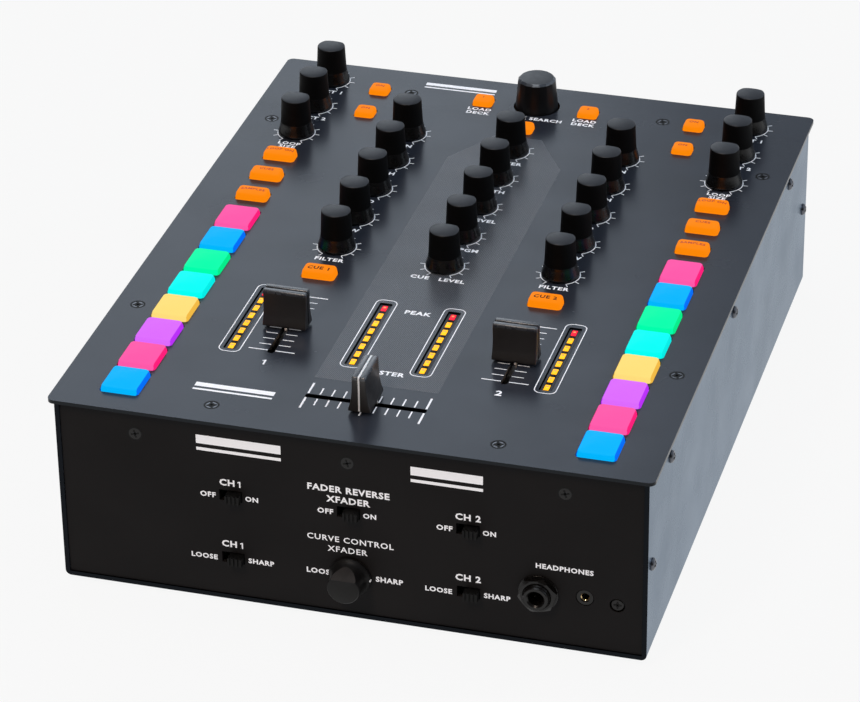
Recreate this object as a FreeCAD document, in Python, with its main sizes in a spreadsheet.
import FreeCAD, Part
import math
import os
import re

import Sketcher

# A two-channel DJ mixer, 10 inches wide, in millimetres.
# X runs to the right, Y to the back, Z up. The origin is the middle of the footprint, at the feet's underside.
# The case is a folded U of sheet steel, closed by a front and a rear panel, with an inner frame that
# carries the overhanging top plate. Most pieces are laid out from the centre of the top plate's upper face.

SIZES = {
    # top plate and case
    "plate_width": 254, "plate_depth": 327, "plate_thick": 1.6, "plate_corner": 3,
    "case_width": 249, "case_front": 161.1, "case_back": 163.5, "case_height": 84.5,
    "wall_thick": 2, "bend_radius": 2.5, "case_gap": 0.3,
    "panel_thick": 2, "panel_inset": 0.6, "panel_gap": 0.15, "panel_tab": 12, "panel_tab_drop": 24,
    "frame_thick": 1.2, "frame_drop": 18, "frame_inner_width": 220, "frame_inner_front": 152.7,
    "frame_inner_back": 152.2, "frame_tab_width": 13,
    "foot_diameter": 16, "foot_height": 3, "foot_place_x": 98, "foot_place_y": 132,
    "front_reach": 171.5, "rear_reach": 172.6,
    # fasteners
    "sunk_head": 5.9, "sunk_head_deep": 1.45, "sunk_hole": 6.2, "screw_shank": 2.9, "screw_hole": 3.4,
    "tapped_hole": 3, "screw_long": 6, "button_head": 5.4, "button_head_tall": 1.6,
    "cross_slot": 0.8, "cross_span": 3.2, "cross_deep": 1,
    "rear_screw_x": 60.2, "rear_screw_y": 142.2, "side_rear_screw_x": 115.5, "side_rear_screw_y": 100.7,
    "side_front_screw_x": 117, "side_front_screw_y": -79.8, "front_screw_x": 60, "front_screw_y": -150.4,
    "panel_screw_x": 90.2, "panel_screw_drop": 12.4, "side_screw_span": 121, "side_screw_shift": 1.5,
    "side_screw_drop": 12.2,
    "corner_screw_front": 154, "corner_screw_back": 155.5, "corner_screw_drop": 43.8,
    # rotary controls
    "channel_x": 50.1, "outer_x": 100.1, "knob_pitch": 27.8, "channel_knob_y": 101.3, "centre_knob_y": 96.3,
    "outer_knob_y": 145.6, "knob_lift": 0.6, "knob_tall": 18.9, "knob_foot": 16.2, "knob_skirt": 16.4,
    "knob_waist": 14.4, "knob_top": 12.8, "knob_flat": 4.6, "skirt_tall": 5, "shaft": 6, "shaft_hole": 8, "shaft_tall": 15,
    "shaft_fit": 0.03, "pot_body": 9.8, "pot_collar": 7.2, "pot_tall": 6.5,
    "search_y": 143.5, "search_hole": 21.5, "search_foot": 19.8, "search_top": 17.4, "search_tall": 15.3,
    "search_sink": 1, "search_body": 12, "search_shaft": 12, "search_travel": 0.5,
    "curve_x": 0.2, "curve_drop": 66.2, "curve_foot": 18, "curve_top": 13.6,
    # faders
    "fader_y": -78.9, "left_fader_y": -80.8, "right_fader_y": -84.1, "cross_y": -133.3,
    "slot_wide": 2.9, "slot_long": 51.4, "cap_long": 18.8, "cap_top": 6, "cap_foot": 9.5, "cap_lift": 1.4,
    "cap_tall": 17.5, "groove_wide": 1, "groove_deep": 0.5, "lever_wide": 4, "lever_thick": 1.2,
    "fader_body_long": 68, "fader_body_wide": 14, "fader_body_deep": 11, "fader_wall": 1,
    "carriage_long": 9, "carriage_wide": 10, "carriage_deep": 5,
    # meters
    "meter_outer_x": 67.7, "meter_inner_x": 15, "window_wide": 5.6, "window_long": 53, "bar_deep": 3,
    "bar_sink": 0.5, "window_corner": 0.8, "led_wide": 2.6, "led_long": 4.3, "led_pitch": 6.55, "led_count": 8, "led_deep": 0.8,
    # pads and buttons
    "pad_wide": 16.3, "pad_long": 18.2, "pad_pitch": 20.8, "pad_front_y": -142.2, "pad_tall": 3.7,
    "pad_corner": 2.4, "pad_round": 1.3, "mode_wide": 14.5, "mode_long": 8.8, "mode_tall": 3.4,
    "mode_y": 65.4, "mode_pitch": 19.9, "cue_y": -35.3, "small_side": 9, "small_tall": 2.6, "small_x": 75.1,
    "small_y": 140.5, "small_pitch": 23.75, "load_x": 25, "load_y": 141.2, "back_y": 119,
    "button_corner": 1.8, "button_round": 0.9, "cap_gap": 0.35, "flange_rim": 0.8, "flange_thick": 1,
    "flange_drop": 0.4, "stem_side": 4, "pad_travel": 0.8, "button_travel": 0.5, "touch_gap": 0.05,
    # boards
    "board_thick": 1.6, "board_drop": 13, "board_width": 236, "board_front": 150, "board_back": 150.5,
    "standoff": 5, "standoff_x": 114.4, "standoff_y": 130, "tact_side": 6, "tact_tall": 4.5,
    "front_board_gap": 7, "front_board_wide": 130, "front_board_top": 26, "front_board_tall": 52,
    # front panel controls
    "switch_slot_wide": 9.8, "switch_slot_tall": 5.1, "switch_tip_wide": 6, "switch_tip_tall": 3.8,
    "switch_reach": 3.9, "switch_shift": 1.6, "switch_upper": 35.9, "switch_lower": 66,
    "switch_body_wide": 15, "switch_body_tall": 7, "switch_body_deep": 4.5,
    "phone_x": 79.4, "phone_drop": 61, "phone_bore": 6.4, "phone_bush": 11.2, "phone_reach": 5.5,
    "phone_body": 16, "phone_body_deep": 25, "nut_flats": 14.5, "nut_thick": 2.6, "washer": 16.6,
    "washer_thick": 0.6, "mini_x": 98.6, "mini_drop": 60.3, "mini_bore": 3.6, "mini_collar": 7.2,
    "mini_hole": 7.6, "mini_body": 11, "mini_body_deep": 14, "jack_screw_x": 112, "jack_screw_drop": 61.8,
    "jack_screw_hole": 6.4,
    "jack_board_x": 93, "jack_board_wide": 54, "jack_board_deep": 30, "jack_board_drop": 69,
    "jack_tab_gap": 0.8, "jack_tab_wide": 9, "jack_tab_tall": 12,
    # rear panel sockets
    "rca_barrel": 8.3, "rca_boss": 10.5, "rca_bore": 3.2, "rca_upper": 28, "rca_pitch": 15, "rca_block_deep": 12,
    "rca_block_wide": 11, "rca_block_top": 22.5, "rca_outer_x": 92, "rca_second_x": 74, "rca_third_x": 40,
    "rca_fourth_x": 22, "rca_inner_x": -8, "jack_row": 36, "line_inner_x": -32, "line_middle_x": -53,
    "line_outer_x": -74, "line_reach": 3.5, "line_body_top": 28, "usb_wide": 12.2, "usb_tall": 10.9, "usb_x": -98,
    "usb_deep": 16, "usb_open_wide": 8.6, "usb_open_tall": 7.9,
    "power_row": 62, "power_jack": 5.5, "power_collar": 7.6, "power_x": -98, "power_body_wide": 9,
    "power_body_deep": 14, "power_button_x": -72, "power_cap": 9, "power_reach": 4, "power_travel": 2,
    "power_switch_side": 12, "rear_board_drop": 48.5, "rear_board_wide": 224, "rear_board_deep": 45, "post": 6,
}

SHIFT = "(front_reach - rear_reach) / 2"
TOP = "foot_height + case_height + plate_thick"
INNER_SIDE = "case_width / 2 - wall_thick"
PANEL_FACE = "case_front - panel_inset"
PANEL_BACK = "case_front - panel_inset - panel_thick"
REAR_FACE = "case_back - panel_inset"
REAR_BACK = "case_back - panel_inset - panel_thick"
CASE_FLOOR = "plate_thick + case_height"
KNOB_ROWS = (
    ("-channel_x", "channel_knob_y", ("ch1_gain", "ch1_high", "ch1_mid", "ch1_low", "ch1_filter")),
    ("channel_x", "channel_knob_y", ("ch2_gain", "ch2_high", "ch2_mid", "ch2_low", "ch2_filter")),
    ("0", "centre_knob_y", ("master", "booth", "mic_level", "cue_mix", "cue_level")),
    ("-outer_x", "outer_knob_y", ("left_effect", "left_depth", "left_loop")),
    ("outer_x", "outer_knob_y", ("right_effect", "right_depth", "right_loop")),
)
KNOB_NAMES = [f"{name}_knob" for _, _, names in KNOB_ROWS for name in names]
PLATE_SCREWS = (
    ("rear_screw_x", "rear_screw_y"), ("side_rear_screw_x", "side_rear_screw_y"),
    ("side_front_screw_x", "side_front_screw_y"), ("front_screw_x", "front_screw_y"),
)
SWITCHES = {
    "ch1_reverse_switch": ("-channel_x", "switch_upper"), "crossfader_reverse_switch": ("0", "switch_upper"),
    "ch2_reverse_switch": ("channel_x", "switch_upper"), "ch1_curve_switch": ("-channel_x", "switch_lower"),
    "ch2_curve_switch": ("channel_x", "switch_lower"),
}
RCA_COLUMNS = ("rca_outer_x", "rca_second_x", "rca_third_x", "rca_fourth_x", "rca_inner_x")
LINE_JACKS = ("line_inner_x", "line_middle_x", "line_outer_x")

FORWARD = FreeCAD.Rotation(FreeCAD.Vector(1, 0, 0), 90)
REARWARD = FreeCAD.Rotation(FreeCAD.Vector(1, 0, 0), -90)
RIGHTWARD = FreeCAD.Rotation(FreeCAD.Vector(0, 1, 0), 90)
LEFTWARD = FreeCAD.Rotation(FreeCAD.Vector(0, 1, 0), -90)
ACROSS = FreeCAD.Rotation(FreeCAD.Vector(0, 0, 1), 90)
UPRIGHT = FreeCAD.Rotation()

doc = FreeCAD.newDocument("dj_mixer")
sheet = doc.addObject("Spreadsheet::Sheet", "Sizes")
nodes = []


def fill_sheet():
    """One row per driving size: its name, its value and the value's alias."""
    for row, (alias, value) in enumerate(SIZES.items(), start=1):
        sheet.set(f"A{row}", alias)
        sheet.set(f"B{row}", str(value))
        sheet.setAlias(f"B{row}", alias)
    doc.recompute()


def bound(text):
    """The text as an expression, with every name of a size turned into its cell."""
    return re.sub(r"[a-z][a-z_]+", lambda m: "Sizes." + m[0] if m[0] in SIZES else m[0], str(text))


def place(item, x="0", y="0", z="0", turn=UPRIGHT):
    item.Placement = FreeCAD.Placement(FreeCAD.Vector(), turn)
    for axis, text in (("x", x), ("y", y), ("z", z)):
        item.setExpression(f"Placement.Base.{axis}", bound(text))


# ---- sketches and features ----

def new_body(name):
    return doc.addObject("PartDesign::Body", name)


def value(text):
    """The present value of an expression of sizes."""
    return float(sheet.evalExpression(bound(text)))


def circle(x, y, diameter):
    return {"at": (x, y), "radius": f"({diameter}) / 2"}


def polygon(corners):
    """A closed outline through the corners, each an (x, y) pair of expressions."""
    return {"corners": corners}


def box(x, y, wide, tall, corner=None):
    left, right = f"{x} - ({wide}) / 2", f"{x} + ({wide}) / 2"
    low, high = f"{y} - ({tall}) / 2", f"{y} + ({tall}) / 2"
    outline = polygon([(left, low), (right, low), (right, high), (left, high)])
    if corner:
        near_left, near_right = f"{left} + {corner}", f"{right} - {corner}"
        near_low, near_high = f"{low} + {corner}", f"{high} - {corner}"
        outline["sides"] = [
            ((near_left, low), (near_right, low)), ((right, near_low), (right, near_high)),
            ((near_right, high), (near_left, high)), ((left, near_high), (left, near_low)),
        ]
        outline["centres"] = [
            (near_right, near_low), (near_right, near_high), (near_left, near_high), (near_left, near_low),
        ]
        outline["corner"] = corner
    return outline


def spot(x, y):
    return FreeCAD.Vector(value(x), value(y), 0)


class Drawing:
    """A sketch on one of a body's own planes, whose every point and radius is bound to the sheet."""

    def __init__(self, body, role, level):
        self.sketch = body.newObject("Sketcher::SketchObject", body.Name + "_outline")
        plane = next(f for f in body.Origin.OriginFeatures if f.Role == role)
        self.sketch.AttachmentSupport = [(plane, "")]
        self.sketch.MapMode = "FlatFace"
        self.sketch.setExpression("AttachmentOffset.Base.z", bound(level))
        self.lines, self.rules, self.texts = [], [], []

    def hold(self, kind, where, text):
        self.texts.append((len(self.rules), text))
        self.rules.append(Sketcher.Constraint(kind, *where, value(text)))

    def hold_point(self, line, end, x, y):
        self.hold("DistanceX", (-1, 1, line, end), x)
        self.hold("DistanceY", (-1, 1, line, end), y)

    def add_circle(self, shape):
        middle = spot(*shape["at"])
        self.lines.append(Part.Circle(middle, FreeCAD.Vector(0, 0, 1), value(shape["radius"])))
        self.hold_point(len(self.lines) - 1, 3, *shape["at"])
        self.hold("Radius", (len(self.lines) - 1,), shape["radius"])

    def add_polygon(self, shape):
        first, corners = len(self.lines), shape["corners"]
        for i, corner in enumerate(corners):
            after = (i + 1) % len(corners)
            self.lines.append(Part.LineSegment(spot(*corner), spot(*corners[after])))
            self.rules.append(Sketcher.Constraint("Coincident", first + i, 2, first + after, 1))
            self.hold_point(first + i, 1, *corner)

    def add_rounded_box(self, shape):
        """Four sides, then the four quarter circles that join each side to the next."""
        first = len(self.lines)
        for i, (start, end) in enumerate(shape["sides"]):
            self.lines.append(Part.LineSegment(spot(*start), spot(*end)))
            self.hold_point(first + i, 1, *start)
            self.hold_point(first + i, 2, *end)
        radius = value(shape["corner"])
        for i, centre in enumerate(shape["centres"]):
            whole = Part.Circle(spot(*centre), FreeCAD.Vector(0, 0, 1), radius)
            from_angle = math.radians(90 * (i - 1))
            self.lines.append(Part.ArcOfCircle(whole, from_angle, from_angle + math.pi / 2))
            self.rules.append(Sketcher.Constraint("Coincident", first + i, 2, first + 4 + i, 1))
            self.rules.append(Sketcher.Constraint("Coincident", first + 4 + i, 2, first + (i + 1) % 4, 1))
            self.hold("Radius", (first + 4 + i,), shape["corner"])

    def finish(self):
        self.sketch.addGeometry(self.lines)
        self.sketch.addConstraint(self.rules)
        for index, text in self.texts:
            self.sketch.setExpression(f"Constraints[{index}]", bound(text))
        return self.sketch


def draw(body, shapes, role="XY_Plane", level="0"):
    """A sketch of the shapes on one of the body's own planes, raised along that plane's normal."""
    drawing = Drawing(body, role, level)
    for shape in shapes:
        if "radius" in shape:
            drawing.add_circle(shape)
        elif "sides" in shape:
            drawing.add_rounded_box(shape)
        else:
            drawing.add_polygon(shape)
    return drawing.finish()


def finish_feature(body, feature):
    body.Tip = feature
    doc.recompute()
    return feature


def pad(body, sketch, length, down=False):
    feature = body.newObject("PartDesign::Pad", body.Name + "_pad")
    feature.Profile = sketch
    feature.Reversed = down
    feature.setExpression("Length", bound(length))
    return finish_feature(body, feature)


def pocket(body, sketch, depth=None, outward=False):
    """Cuts against the sketch's normal, or along it if outward; all the way if no depth is given."""
    feature = body.newObject("PartDesign::Pocket", body.Name + "_pocket")
    feature.Profile = sketch
    feature.Reversed = outward
    if depth is None:
        feature.Type = "ThroughAll"
    else:
        feature.setExpression("Length", bound(depth))
    return finish_feature(body, feature)


def sunk_holes(body, sketch):
    """Through holes at the sketch's circles, countersunk from its side."""
    doc.recompute()
    holes = body.newObject("PartDesign::Hole", body.Name + "_sunk_holes")
    holes.Profile = sketch
    holes.DepthType = "ThroughAll"
    holes.HoleCutType = "Countersink"
    holes.HoleCutCustomValues = True
    holes.setExpression("Diameter", bound("screw_hole"))
    holes.setExpression("HoleCutDiameter", bound("sunk_hole"))
    holes.HoleCutCountersinkAngle = 90
    return finish_feature(body, holes)


def revolve(body, sketch):
    """A full turn about the sketch's vertical axis."""
    feature = body.newObject("PartDesign::Revolution", body.Name + "_turned")
    feature.Profile = sketch
    feature.ReferenceAxis = (sketch, ["V_Axis"])
    feature.Angle = 360
    return finish_feature(body, feature)


def round_edges(body, radius, wanted):
    """Fillets the body's edges for which wanted(edge) holds."""
    base = body.Tip
    names = [f"Edge{i}" for i, edge in enumerate(base.Shape.Edges, start=1) if wanted(edge)]
    feature = body.newObject("PartDesign::Fillet", body.Name + "_rounded")
    feature.Base = (base, names)
    feature.setExpression("Radius", bound(radius))
    return finish_feature(body, feature)


def round_top(body, radius):
    """Fillets the edges that lie flat at the top of the body."""
    top = body.Tip.Shape.BoundBox.ZMax
    round_edges(body, radius, lambda edge: abs(edge.BoundBox.ZMin - top) < 1e-4)


# ---- plain solids ----

def block(name, x, y, z, wide, deep, tall):
    """A box centred on x and y that stands on z."""
    solid = doc.addObject("Part::Box", name)
    for side, text in (("Length", wide), ("Width", deep), ("Height", tall)):
        solid.setExpression(side, bound(text))
    place(solid, f"{x} - ({wide}) / 2", f"{y} - ({deep}) / 2", z)
    return solid


def rod(name, x, y, z, diameter, tall, turn=UPRIGHT):
    solid = doc.addObject("Part::Cylinder", name)
    solid.setExpression("Radius", bound(f"({diameter}) / 2"))
    solid.setExpression("Height", bound(tall))
    place(solid, x, y, z, turn)
    return solid


def group(pieces):
    """Pieces that don't touch, taken as one."""
    result = doc.addObject("Part::Compound", pieces[0].Name + "_group")
    result.Links = pieces
    return result


def cut(base, *tools):
    """The base less the tools, which may overlap each other."""
    for tool in tools:
        result = doc.addObject("Part::Cut", base.Name + "_less")
        result.Base = base
        result.Tool = tool
        base = result
    return base


def fuse(*pieces):
    result = doc.addObject("Part::MultiFuse", pieces[0].Name + "_joined")
    result.Shapes = list(pieces)
    return result


# ---- nodes ----

def linked(piece, x="0", y="0", z="0", turn=UPRIGHT):
    """A further copy of a piece, at its own place."""
    link = doc.addObject("App::Link", piece.Name + "_copy")
    link.LinkedObject = piece
    link.LinkTransform = True
    place(link, x, y, z, turn)
    return link


def node(label, pieces, x="0", y=SHIFT, z=TOP, turn=UPRIGHT):
    """One named node of the assembly: its solids, carried together to their place."""
    group = doc.addObject("Part::Compound", label)
    group.Label = label
    group.Links = pieces
    place(group, x, y, z, turn)
    nodes.append(group)
    return group


def knob_places():
    """Every small knob's (x, y) in the layout, as expressions."""
    return [(x, f"{y} - {i} * knob_pitch") for x, y, names in KNOB_ROWS for i in range(len(names))]


def mirrored(x, y):
    return [(f"-{x}", y), (x, y)]


def plate_screw_places():
    return [place for x, y in PLATE_SCREWS for place in mirrored(x, y)]


def meter_places():
    return [(x, "fader_y") for x in ("-meter_outer_x", "-meter_inner_x", "meter_inner_x", "meter_outer_x")]


BUTTON_KINDS = {
    "mode": ("mode_wide", "mode_long", [p for i in range(3) for p in mirrored("outer_x", f"mode_y - {i} * mode_pitch")]),
    "cue": ("mode_wide", "mode_long", mirrored("channel_x", "cue_y")),
    "on": ("small_side", "small_side", [p for i in range(2) for p in mirrored("small_x", f"small_y - {i} * small_pitch")]),
    "deck": ("small_side", "small_side", mirrored("load_x", "load_y") + [("0", "back_y")]),
    "pad": ("pad_wide", "pad_long", [p for i in range(8) for p in mirrored("outer_x", f"pad_front_y + {i} * pad_pitch")]),
}


# ---- case ----

def cutters(name, wide, long, corner, places, turn=UPRIGHT):
    """Round-cornered tools that reach through the top plate at each of the places."""
    body = new_body(name)
    pad(body, draw(body, [box("0", "0", wide, long, corner)], level="plate_thick"), "3 * plate_thick", down=True)
    return [linked(body, x, y, turn=turn) for x, y in places]


def make_top_plate():
    body = new_body("TopPlate")
    pad(body, draw(body, [box("0", "0", "plate_width", "plate_depth", "plate_corner")]), "plate_thick", down=True)
    shafts = [circle(x, y, "shaft_hole") for x, y in knob_places()]
    pocket(body, draw(body, shafts + [circle("0", "search_y", "search_hole")]))
    sunk_holes(body, draw(body, [circle(x, y, "screw_hole") for x, y in plate_screw_places()]))
    tools = []
    for kind, (wide, long, spots) in BUTTON_KINDS.items():
        tools += cutters(f"{kind}_cutter", f"{wide} + 2 * cap_gap", f"{long} + 2 * cap_gap", "button_corner", spots)
    tools += cutters("window_cutter", "window_wide", "window_long", "window_corner", meter_places())
    slot_end = "0.42 * slot_wide"
    tools += cutters("slot_cutter", "slot_wide", "slot_long", slot_end, mirrored("channel_x", "fader_y"))
    tools += cutters("cross_cutter", "slot_long", "slot_wide", slot_end, [("0", "cross_y")])
    node("top_plate", [cut(body, group(tools))])


def make_inner_frame():
    body = new_body("InnerFrame")
    side = f"{INNER_SIDE} - panel_gap"
    front, back = f"{PANEL_BACK} - panel_gap", f"{REAR_BACK} - panel_gap"
    outer = frame_outline(side, front, back)
    opening = frame_outline("frame_inner_width / 2", "frame_inner_front", "frame_inner_back")
    pad(body, draw(body, [outer, opening], level="-plate_thick"), "frame_thick", down=True)
    inside = frame_outline(*(f"{reach} - frame_thick" for reach in (side, front, back)))
    pad(body, draw(body, [outer, inside], level="-plate_thick"), "frame_drop", down=True)
    tabs = []
    for x, y, edge in (("rear_screw_x", "rear_screw_y", "frame_inner_back"),
                       ("front_screw_x", "front_screw_y", "-frame_inner_front")):
        inner_end = f"{y} * (1 - frame_tab_width / 2 / abs({y}))"
        outer_end = f"{edge} * 1.01"
        for middle in (f"-{x}", x):
            tabs.append(box(middle, f"({inner_end} + {outer_end}) / 2", "frame_tab_width", f"abs({outer_end} - {inner_end})"))
    pad(body, draw(body, tabs, level="-plate_thick"), "frame_thick", down=True)
    pocket(body, draw(body, [circle(x, y, "tapped_hole") for x, y in plate_screw_places()]))
    pocket(body, draw(body, side_holes("tapped_hole")[:3], "YZ_Plane", "case_width"))
    pocket(body, draw(body, panel_screw_holes("tapped_hole"), "XZ_Plane", "case_front"))
    node("inner_frame", [body])


def frame_outline(side, front, back):
    return polygon([(f"-({side})", f"-({front})"), (side, f"-({front})"), (side, back), (f"-({side})", back)])


def side_holes(size):
    """The screw holes of one side, as (y, z): three in the inner frame, one in each panel's tab."""
    along = [f"-side_screw_shift + {i} * side_screw_span" for i in (-1, 0, 1)]
    holes = [circle(y, "-side_screw_drop", size) for y in along]
    return holes + [circle(y, "-corner_screw_drop", size) for y in ("-corner_screw_front", "corner_screw_back")]


def panel_screw_holes(size):
    return [circle(x, "-panel_screw_drop", size) for x in ("-panel_screw_x", "0", "panel_screw_x")]


def make_chassis():
    body = new_body("Chassis")
    out, low = "case_width / 2", f"-({CASE_FLOOR})"
    inner, floor = f"({INNER_SIDE})", f"-({CASE_FLOOR}) + wall_thick"
    profile = polygon([
        (f"-{out}", low), (out, low), (out, "-plate_thick"), (inner, "-plate_thick"), (inner, floor),
        (f"-{inner}", floor), (f"-{inner}", "-plate_thick"), (f"-{out}", "-plate_thick"),
    ])
    pad(body, draw(body, [profile], "XZ_Plane", "-case_back"), "case_front + case_back")
    bottom = body.Tip.Shape.BoundBox.ZMin
    round_edges(body, "bend_radius", lambda edge: edge.BoundBox.ZMax < bottom + 1e-4 and edge.BoundBox.YLength > 100)
    pocket(body, draw(body, side_holes("screw_hole"), "YZ_Plane", "case_width"))
    node("chassis", [body])


def closing_panel(name, side, cutouts):
    """A flat panel that closes the U. side is +1 at the front, -1 at the rear."""
    body = new_body(name)
    face = PANEL_FACE if side > 0 else REAR_FACE
    wide, top, low = f"2 * ({INNER_SIDE} - panel_gap)", "-plate_thick - panel_gap", f"-({CASE_FLOOR}) + wall_thick + panel_gap"
    middle, tall = f"({top} + {low}) / 2", f"{top} - ({low})"
    outline = box("0", middle, wide, tall)
    pad(body, draw(body, [outline], "XZ_Plane", f"{side} * ({face})"), "panel_thick", down=side > 0)
    pocket(body, draw(body, cutouts, "XZ_Plane", f"{side} * ({face})"), "panel_thick", outward=side < 0)
    return body


def panel_tabs(name, side):
    """The tabs welded behind a panel's ends, each tapped for the screw in the case's side."""
    back, screw_y = (PANEL_BACK, "corner_screw_front") if side > 0 else (REAR_BACK, "corner_screw_back")
    low, out = f"-({CASE_FLOOR}) + wall_thick + panel_gap", f"{INNER_SIDE} - panel_gap"
    tabs = []
    for end in (-1, 1):
        x, y = f"{end} * ({out} - panel_thick / 2)", f"-{side} * ({back} - panel_tab / 2)"
        tab = block(name, x, y, low, "panel_thick", "panel_tab", f"-({low}) - panel_tab_drop")
        hole_x = f"{end} * ({out} - 2 * panel_thick)"
        hole = rod(name + "Hole", hole_x, f"-{side} * {screw_y}", "-corner_screw_drop", "tapped_hole", "4 * panel_thick",
                   RIGHTWARD if end > 0 else LEFTWARD)
        tabs.append(cut(tab, hole))
    return tabs


def make_panels():
    slots = [box(x, f"-{drop}", "switch_slot_wide", "switch_slot_tall") for x, drop in SWITCHES.values()]
    front = closing_panel("FrontPanel", 1, slots + [
        circle("curve_x", "-curve_drop", "shaft_hole"), circle("phone_x", "-phone_drop", "phone_bush + 0.4"),
        circle("mini_x", "-mini_drop", "mini_hole"), circle("jack_screw_x", "-jack_screw_drop", "jack_screw_hole"),
    ])
    sunk_holes(front, draw(front, panel_screw_holes("screw_hole"), "XZ_Plane", PANEL_FACE))
    node("front_panel", [front] + panel_tabs("FrontTab", 1))
    sockets = panel_screw_holes("screw_hole")
    sockets += [circle(x, z, "rca_boss + 0.4") for x, z in rca_places()]
    sockets += [circle(x, "-jack_row", "phone_bush + 0.4") for x in LINE_JACKS]
    sockets.append(box("usb_x", "-jack_row", "usb_wide + 0.4", "usb_tall + 0.4"))
    sockets.append(circle("power_x", "-power_row", "power_collar + 0.4"))
    sockets.append(circle("power_button_x", "-power_row", "power_cap + 0.8"))
    node("rear_panel", [closing_panel("RearPanel", -1, sockets)] + panel_tabs("RearTab", -1))


def rca_places():
    return [(x, f"-rca_upper - {row} * rca_pitch") for x in RCA_COLUMNS for row in range(2)]


def make_feet():
    bottom = f"-({TOP})"
    corners = mirrored("foot_place_x", f"foot_place_y - {SHIFT}") + mirrored("foot_place_x", f"-foot_place_y - {SHIFT}")
    node("rubber_feet", [rod("Foot", x, y, bottom, "foot_diameter", "foot_height") for x, y in corners])


# ---- fasteners ----

def cross_recess(name, top):
    bars = [("cross_span", "cross_slot"), ("cross_slot", "cross_span")]
    return fuse(*(block(name, "0", "0", f"{top} - cross_deep", wide, deep, "2 * cross_deep") for wide, deep in bars))


def make_screws():
    """Both kinds are drawn with the head at z = 0; the countersunk head's face is at 0, the other's foot is."""
    sunk = new_body("SunkScrew")
    head, shank = "sunk_head / 2", "screw_shank / 2"
    revolve(sunk, draw(sunk, [polygon([
        ("0", "0"), (head, "0"), (shank, "-sunk_head_deep"), (shank, "-screw_long"), ("0", "-screw_long"),
    ])], "XZ_Plane"))
    sunk_screw = cut(sunk, cross_recess("SunkCross", "0"))
    flush = "-0.05"
    copies = [linked(sunk_screw, x, y, flush) for x, y in plate_screw_places()]
    for x in ("-panel_screw_x", "0", "panel_screw_x"):
        copies.append(linked(sunk_screw, x, f"-({PANEL_FACE}) - ({flush})", "-panel_screw_drop", FORWARD))
    node("countersunk_screws", copies)

    domed = new_body("DomedScrew")
    head = "button_head / 2"
    revolve(domed, draw(domed, [polygon([
        ("0", "button_head_tall"), (f"0.55 * {head}", "0.92 * button_head_tall"), (f"0.88 * {head}", "0.6 * button_head_tall"),
        (head, "0.2 * button_head_tall"), (head, "0"), (shank, "0"), (shank, "-screw_long"), ("0", "-screw_long"),
    ])], "XZ_Plane"))
    domed_screw = cut(domed, cross_recess("DomedCross", "button_head_tall"))
    copies = []
    for hole in side_holes("tapped_hole"):
        y, z = hole["at"]
        copies.append(linked(domed_screw, "case_width / 2", y, z, RIGHTWARD))
        copies.append(linked(domed_screw, "-case_width / 2", y, z, LEFTWARD))
    for x in ("-panel_screw_x", "0", "panel_screw_x"):
        copies.append(linked(domed_screw, x, REAR_FACE, "-panel_screw_drop", REARWARD))
    copies.append(linked(domed_screw, "jack_screw_x", f"-({PANEL_BACK}) + jack_tab_gap", "-jack_screw_drop", FORWARD))
    node("button_head_screws", copies)


# ---- what is on the boards ----

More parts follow.
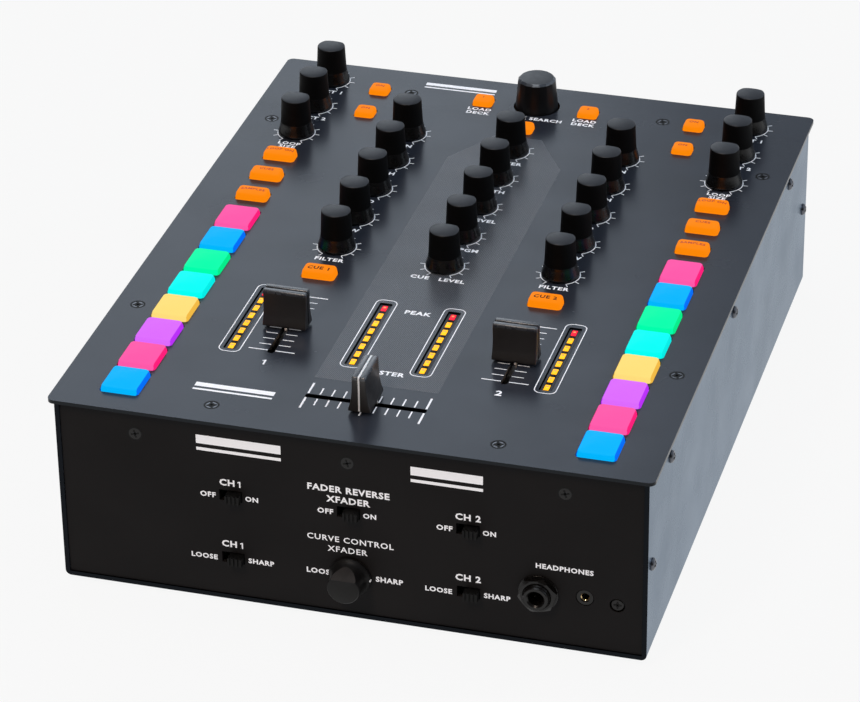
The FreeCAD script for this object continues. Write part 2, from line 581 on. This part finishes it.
def make_boards():
    thick = "board_thick"
    middle = "(board_back - board_front) / 2"
    control = block("ControlBoard", "0", middle, f"-board_drop - {thick}", "board_width", "board_back + board_front", thick)
    pieces = [control]
    standoff_tall = "board_drop - plate_thick - frame_thick"
    for x, y in mirrored("standoff_x", "standoff_y") + mirrored("standoff_x", "-standoff_y"):
        pieces.append(rod("Standoff", x, y, "-board_drop", "standoff", standoff_tall))
    tact = block("Tact", "0", "0", "-board_drop", "tact_side", "tact_side", "tact_tall")
    pieces += [linked(tact, x, y) for _, _, spots in BUTTON_KINDS.values() for x, y in spots]

    front_y = f"-({PANEL_BACK}) + front_board_gap"
    board_low = "-front_board_top - front_board_tall"
    pieces.append(block("FrontBoard", "0", f"{front_y} + {thick} / 2", board_low, "front_board_wide", thick, "front_board_tall"))
    for x in ("-front_board_wide / 2 + 4", "front_board_wide / 2 - 4"):
        for z in ("-front_board_top - 4", f"{board_low} + 4"):
            pieces.append(rod("FrontSpacer", x, front_y, z, "standoff", "front_board_gap", FORWARD))
    switch_body = block("SwitchBody", "0", f"{front_y} - switch_body_deep / 2", "-switch_body_tall / 2",
                        "switch_body_wide", "switch_body_deep", "switch_body_tall")
    socket = block("SwitchSocket", "0", f"{front_y} - switch_body_deep", "-switch_tip_tall / 2 - 0.2",
                   "switch_slot_wide", "4", "switch_tip_tall + 0.4")
    switch = cut(switch_body, socket)
    pieces += [linked(switch, x, "0", f"-{drop}") for x, drop in SWITCHES.values()]

    jack_y = f"-({PANEL_BACK}) + jack_board_deep / 2 + 0.5"
    pieces.append(block("JackBoard", "jack_board_x", jack_y, f"-jack_board_drop - {thick}", "jack_board_wide",
                        "jack_board_deep", thick))
    tab = block("JackTab", "jack_screw_x", f"-({PANEL_BACK}) + jack_tab_gap + {thick} / 2", "-jack_board_drop",
                "jack_tab_wide", thick, "jack_tab_tall")
    tapped = rod("JackTabHole", "jack_screw_x", f"-({PANEL_BACK}) + 10", "-jack_screw_drop", "tapped_hole", "10", FORWARD)
    pieces.append(cut(tab, tapped))

    rear_y = f"{REAR_BACK} - rear_board_deep / 2 - 0.5"
    board_z = f"-rear_board_drop - {thick}"
    pieces.append(block("RearBoard", "0", rear_y, board_z, "rear_board_wide", "rear_board_deep", thick))
    floor = f"-({CASE_FLOOR}) + wall_thick"
    for x in ("-rear_board_wide / 2 + 6", "rear_board_wide / 2 - 6"):
        for shift in ("-rear_board_deep / 2 + 6", "rear_board_deep / 2 - 6"):
            pieces.append(rod("RearPost", x, f"{rear_y} + {shift}", floor, "post", f"{board_z} - ({floor})"))
    node("circuit_boards", pieces)


def pot(name, side, seat, tall, collar_top):
    """A square body on a board, with a collar that bears the shaft."""
    body = block(name, "0", "0", seat, side, side, tall)
    collar = rod(name + "Collar", "0", "0", seat, "pot_collar", f"{collar_top} - ({seat})")
    bore = rod(name + "Bore", "0", "0", f"{seat} + 0.5", "shaft + 2 * shaft_fit", "50")
    return cut(fuse(body, collar), bore)


def make_pots():
    small = pot("Pot", "pot_body", "-board_drop", "pot_tall", "-plate_thick - 0.4")
    pieces = [linked(small, x, y) for x, y in knob_places()]
    encoder = pot("Encoder", "search_body", "-board_drop", "pot_tall", "-plate_thick - 0.6")
    pieces.append(linked(encoder, "0", "search_y"))
    curve = pot("CurvePot", "pot_body", "0", "pot_tall", "front_board_gap + panel_thick - 0.6")
    pieces.append(linked(curve, "curve_x", f"-({PANEL_BACK}) + front_board_gap", "-curve_drop", FORWARD))
    node("potentiometers", pieces)


def make_fader_units():
    top = "-plate_thick - 0.2"
    low = f"{top} - fader_body_deep"
    shell = block("FaderUnit", "0", "0", low, "fader_body_wide", "fader_body_long", "fader_body_deep")
    hollow = block("FaderHollow", "0", "0", f"{low} + fader_wall", "fader_body_wide - 2 * fader_wall",
                   "fader_body_long - 2 * fader_wall", "fader_body_deep - 2 * fader_wall")
    slot = block("FaderSlot", "0", "0", f"{top} - 2 * fader_wall", "slot_wide", "slot_long", "5")
    unit = cut(shell, hollow, slot)
    pieces = [linked(unit, x, y) for x, y in mirrored("channel_x", "fader_y")]
    pieces.append(linked(unit, "0", "cross_y", turn=ACROSS))
    node("fader_units", pieces)


def make_meters():
    face = "-bar_sink"
    bar = block("MeterBar", "0", "0", "-board_drop", "window_wide - 0.6", "window_long - 0.6", f"board_drop + {face}")
    spots = [f"(led_count - 1 - 2 * {i}) / 2 * led_pitch" for i in range(8)]
    seat = block("LedSeat", "0", "0", f"{face} - led_deep - 0.1", "led_wide + 0.2", "led_long + 0.2", "5")
    strip = cut(bar, group([linked(seat, "0", y) for y in spots]))
    led = block("Led", "0", "0", f"{face} - led_deep - 0.1", "led_wide", "led_long", "led_deep")
    meter = group([strip] + [linked(led, "0", y) for y in spots])
    node("meter_leds", [linked(meter, x, "fader_y") for x, _ in meter_places()])


# ---- sockets ----

def socket_bush(name, x, y, z, reach, turn):
    """A threaded 6.35 mm bush that starts behind a panel's back face and reaches past its front."""
    return rod(name, x, y, z, "phone_bush", f"panel_thick + {reach} + 1", turn)


def make_headphone_jacks():
    back, face = f"-({PANEL_BACK})", f"-({PANEL_FACE})"
    low = "-jack_board_drop"
    body = block("PhoneBody", "phone_x", f"{back} + phone_body_deep / 2", low, "phone_body", "phone_body_deep", "phone_body")
    bush = socket_bush("PhoneBush", "phone_x", f"{back} + 1", "-phone_drop", "phone_reach", FORWARD)
    bore = rod("PhoneBore", "phone_x", f"{back} + phone_body_deep - 2", "-phone_drop", "phone_bore", "60", FORWARD)
    washer = cut(rod("Washer", "phone_x", face, "-phone_drop", "washer", "washer_thick", FORWARD),
                 rod("WasherHole", "phone_x", f"{face} + 1", "-phone_drop", "phone_bush + 0.1", "10", FORWARD))
    nut = new_body("PhoneNut")
    hexagon = polygon([(f"nut_flats / sqrt(3) * cos({60 * i})", f"nut_flats / sqrt(3) * sin({60 * i})") for i in range(6)])
    pad(nut, draw(nut, [hexagon, circle("0", "0", "phone_bush + 0.1")]), "nut_thick")
    mini_body = block("MiniBody", "mini_x", f"{back} + mini_body_deep / 2", low, "mini_body", "mini_body_deep", "mini_body + 3")
    collar = rod("MiniCollar", "mini_x", f"{back} + 1", "-mini_drop", "mini_collar", "panel_thick + 0.8", FORWARD)
    mini_bore = rod("MiniBore", "mini_x", f"{back} + mini_body_deep - 1", "-mini_drop", "mini_bore", "60", FORWARD)
    node("headphone_jacks", [
        cut(fuse(body, bush), bore), washer, linked(nut, "phone_x", f"{face} - washer_thick", "-phone_drop", FORWARD),
        cut(fuse(mini_body, collar), mini_bore),
    ])


def make_rear_sockets():
    back, low = REAR_BACK, "-rear_board_drop"
    pieces = []
    for x in RCA_COLUMNS:
        body = block("RcaBody", x, f"{back} - rca_block_deep / 2", low, "rca_block_wide", "rca_block_deep",
                     "rear_board_drop - rca_block_top")
        holes = []
        for row in range(2):
            z = f"-rca_upper - {row} * rca_pitch"
            barrel = rod("RcaBarrel", x, f"{back} - 1", z, "rca_barrel", f"rear_reach - ({back}) + 1", REARWARD)
            boss = rod("RcaBoss", x, f"{back} - 1", z, "rca_boss", "panel_thick + 1", REARWARD)
            holes.append(rod("RcaBore", x, f"{back} - 8", z, "rca_bore", "40", REARWARD))
            body = fuse(body, barrel, boss)
        pieces.append(cut(body, *holes))
    for x in LINE_JACKS:
        body = block("LineBody", x, f"{back} - phone_body_deep / 2", low, "phone_body", "phone_body_deep",
                     "rear_board_drop - line_body_top")
        bush = socket_bush("LineBush", x, f"{back} - 1", "-jack_row", "line_reach", REARWARD)
        bore = rod("LineBore", x, f"{back} - phone_body_deep + 2", "-jack_row", "phone_bore", "60", REARWARD)
        pieces.append(cut(fuse(body, bush), bore))
    shell_y = f"{REAR_FACE} - usb_deep / 2"
    shell = block("UsbShell", "usb_x", shell_y, "-jack_row - usb_tall / 2", "usb_wide", "usb_deep", "usb_tall")
    foot = block("UsbFoot", "usb_x", f"{back} - usb_deep / 2", low, "usb_wide", "usb_deep - 4", "rear_board_drop - jack_row")
    opening = block("UsbOpening", "usb_x", f"{shell_y} + 2", "-jack_row - usb_open_tall / 2", "usb_open_wide", "usb_deep",
                    "usb_open_tall")
    pieces.append(cut(fuse(shell, foot), opening))
    under = f"{low} - board_thick"
    inlet_tall = f"{under} + power_row + power_body_wide / 2"
    inlet = block("Inlet", "power_x", f"{back} - power_body_deep / 2", "-power_row - power_body_wide / 2", "power_body_wide",
                  "power_body_deep", inlet_tall)
    mouth = rod("InletMouth", "power_x", f"{back} - power_body_deep + 2", "-power_row", "power_jack", "40", REARWARD)
    collar = rod("InletCollar", "power_x", f"{back} - 1", "-power_row", "power_collar", "panel_thick + 1", REARWARD)
    pieces.append(cut(fuse(inlet, collar), mouth))
    switch_y = f"{back} - 3 - power_switch_side / 2"
    switch = block("PowerSwitch", "power_button_x", switch_y, "-power_row - power_switch_side / 2", "power_switch_side",
                   "power_switch_side", f"{under} + power_row + power_switch_side / 2")
    well = rod("PowerWell", "power_button_x", f"{back} - power_switch_side", "-power_row", "power_cap / 2 + 0.4", "40", REARWARD)
    pieces.append(cut(switch, well))
    node("rear_sockets", pieces)


# ---- knobs ----

def turned(name, outline):
    body = new_body(name)
    revolve(body, draw(body, [polygon(outline)], "XZ_Plane"))
    return body


def shaft(name, low, top):
    """A round shaft with a flat along its upper half."""
    whole = rod(name, "0", "0", low, "shaft", f"{top} - ({low})")
    return cut(whole, block(name + "Flat", "0", "shaft / 2", "5", "shaft", "shaft / 2", "shaft_tall"))


def make_small_knobs():
    foot, skirt, waist, top = "knob_foot / 2", "knob_skirt / 2", "knob_waist / 2", "knob_top / 2"
    bore, bore_top, tall = "shaft / 2 + shaft_fit", "shaft_tall + 0.1", "knob_tall"
    low = "knob_lift"
    knob = turned("SmallKnob", [
        (bore, low), (foot, low), (skirt, f"{low} + 0.3 * skirt_tall"), (skirt, f"{low} + 0.55 * skirt_tall"),
        (f"({skirt} + {waist}) / 2 + 0.2", f"{low} + 0.85 * skirt_tall"), (waist, f"{low} + skirt_tall + 0.4"),
        (top, f"{tall} - 1.1"), (f"{top} - 0.3", f"{tall} - 0.5"), (f"{top} - 1", f"{tall} - 0.2"), ("0", tall),
        ("0", bore_top), (bore, bore_top),
    ])
    knob = cut(knob, block("KnobFlat", "0", "knob_flat + 5", f"{low} + skirt_tall + 0.6", "20", "10", "knob_tall"))
    stem = shaft("KnobShaft", "-board_drop + 1", "shaft_tall")
    for name, (x, y) in zip(KNOB_NAMES, knob_places()):
        node(name, [linked(knob, x, y), linked(stem, x, y)])


def make_search_knob():
    bore, bore_top = "shaft / 2 + shaft_fit", "search_shaft + 0.1"
    foot, top, tall = "search_foot / 2", "search_top / 2", "search_tall"
    knob = turned("SearchKnob", [
        (bore, "-search_sink"), (foot, "-search_sink"), (foot, "2"), (f"{top} + 0.3", "4"), (top, f"{tall} - 2.6"),
        (f"{top} - 1.2", f"{tall} - 0.5"), ("0", tall), ("0", bore_top), (bore, bore_top),
    ])
    node("search_knob", [linked(knob, "0", "search_y")])
    plunger = rod("Plunger", "0", "search_y", "-board_drop + 1.5", "shaft", "search_shaft + board_drop - 1.5")
    node("search_plunger", [plunger])


def make_curve_knob():
    """Drawn with z outward from the panel's face."""
    bore, reach = "shaft / 2 + shaft_fit", f"front_reach - ({PANEL_FACE})"
    foot, top, bore_top = "curve_foot / 2", "curve_top / 2", f"{reach} - 3"
    knob = turned("CurveKnob", [
        (bore, "0.6"), (foot, "0.6"), (foot, "1.8"), (f"{top} + 0.6", "4"), (top, f"{reach} - 0.8"),
        (f"{top} - 0.8", reach), ("0", reach), ("0", bore_top), (bore, bore_top),
    ])
    inner_end = "-(panel_thick + front_board_gap) + 1"
    stem = rod("CurveShaft", "0", "0", inner_end, "shaft", f"{bore_top} - 0.1 - ({inner_end})")
    node("curve_knob", [linked(p, "curve_x", f"-({PANEL_FACE})", "-curve_drop", FORWARD) for p in (knob, stem)])


# ---- faders, switches, buttons ----

def make_faders():
    """The cap is drawn for a fader that travels along Y."""
    cap = new_body("FaderCap")
    foot, top, low, high = "cap_foot / 2", "cap_top / 2", "cap_lift", "cap_tall"
    right = [(foot, low), (f"{foot} - 0.15", f"{low} + 1.6"), (f"{top} + 0.75", f"{low} + 4"), (f"{top} + 0.15", f"{low} + 8"),
             (top, f"{low} + 12"), (top, f"{high} - 0.7"), (f"{top} - 0.6", high)]
    groove = [("groove_wide / 2", high), ("groove_wide / 2", f"{high} - groove_deep")]
    left = [(f"-({y})", z) for y, z in reversed(right + groove)]
    profile = [polygon(right + groove + left)]
    pad(cap, draw(cap, profile, "YZ_Plane", "-cap_long / 2"), "cap_long")
    lever_low = "-plate_thick - fader_body_deep + 4"
    socket = block("LeverSocket", "0", "0", "0", "lever_thick + 0.04", "lever_wide + 0.04", "cap_lift + 6")
    lever = block("Lever", "0", "0", lever_low, "lever_thick", "lever_wide", f"cap_lift + 5.9 - ({lever_low})")
    carriage = block("Carriage", "0", "0", f"{lever_low} - 2", "carriage_wide", "carriage_long", "carriage_deep")
    pieces = [cut(cap, socket), fuse(lever, carriage)]
    for name, x, y, turn in (("left_fader", "-channel_x", "left_fader_y", UPRIGHT),
                             ("right_fader", "channel_x", "right_fader_y", UPRIGHT),
                             ("crossfader", "0", "cross_y", ACROSS)):
        node(name, [linked(piece, x, y, turn=turn) for piece in pieces])


def make_switch_tips():
    inner = f"-({PANEL_BACK}) + front_board_gap - switch_body_deep + 1.5"
    outer = f"-({PANEL_FACE}) - switch_reach"
    for name, (x, drop) in SWITCHES.items():
        tip = block(name + "_tip", f"{x} + switch_shift", f"({inner} + {outer}) / 2", f"-{drop} - switch_tip_tall / 2",
                    "switch_tip_wide", f"{inner} - ({outer})", "switch_tip_tall")
        node(name, [tip])


def button(name, wide, long, tall, corner, rounding, travel):
    """A cap with a rim that keeps it under the plate, and a stem that ends just above its switch."""
    body = new_body(name)
    rim_top = "-plate_thick - flange_drop"
    pad(body, draw(body, [box("0", "0", wide, long, corner)], level=rim_top), f"{tall} - ({rim_top})")
    round_top(body, rounding)
    rim = box("0", "0", f"{wide} + 2 * flange_rim", f"{long} + 2 * flange_rim", corner)
    pad(body, draw(body, [rim], level=rim_top), "flange_thick", down=True)
    rim_low = f"{rim_top} - flange_thick"
    stem_end = f"-board_drop + tact_tall + touch_gap + {travel}"
    pad(body, draw(body, [box("0", "0", "stem_side", "stem_side")], level=rim_low), f"{rim_low} - ({stem_end})", down=True)
    return body


def make_buttons():
    pad_cap = button("Pad", "pad_wide", "pad_long", "pad_tall", "pad_corner", "pad_round", "pad_travel")
    oblong = button("Oblong", "mode_wide", "mode_long", "mode_tall", "button_corner", "button_round", "button_travel")
    small = button("Square", "small_side", "small_side", "small_tall", "button_corner", "button_round", "button_travel")
    pads = BUTTON_KINDS["pad"][2]
    for side, name in enumerate(("left", "right")):
        rows = pads[side::2]
        for pair, (low, high) in enumerate(zip(rows[::2], rows[1::2]), start=1):
            node(f"{name}_pads_{pair}", [linked(pad_cap, *low), linked(pad_cap, *high)])
    modes = BUTTON_KINDS["mode"][2]
    node("mode_buttons_left", [linked(oblong, *spot) for spot in modes[::2]])
    node("mode_buttons_right", [linked(oblong, *spot) for spot in modes[1::2]])
    node("cue_buttons", [linked(oblong, *spot) for spot in BUTTON_KINDS["cue"][2]])
    node("on_buttons", [linked(small, *spot) for spot in BUTTON_KINDS["on"][2]])
    node("deck_buttons", [linked(small, *spot) for spot in BUTTON_KINDS["deck"][2]])


def make_power_button():
    cap = rod("PowerCap", "power_button_x", f"{REAR_BACK} - 2 + power_travel", "-power_row", "power_cap",
              "panel_thick + power_reach + 2 - power_travel", REARWARD)
    stem = rod("PowerStem", "power_button_x", f"{REAR_BACK} - power_switch_side + power_travel + 1", "-power_row",
               "power_cap / 2", "power_switch_side - 2", REARWARD)
    node("power_button", [fuse(cap, stem)])


# ---- build and write ----

def write_nodes():
    doc.recompute()
    for item in doc.Objects:
        if "Invalid" in item.State or "Error" in item.State:
            raise RuntimeError(f"{item.Name} did not build: {item.State}")
    os.makedirs("parts", exist_ok=True)
    for item in nodes:
        if item.Shape.isNull() or not item.Shape.isValid():
            raise RuntimeError(f"{item.Label} has no valid shape")
        item.Shape.exportStep(os.path.join("parts", f"{item.Label}.step"))


fill_sheet()
make_top_plate()
make_inner_frame()
make_chassis()
make_panels()
make_feet()
make_screws()
make_boards()
make_pots()
make_fader_units()
make_meters()
make_headphone_jacks()
make_rear_sockets()
make_small_knobs()
make_search_knob()
make_curve_knob()
make_faders()
make_switch_tips()
make_buttons()
make_power_button()
write_nodes()
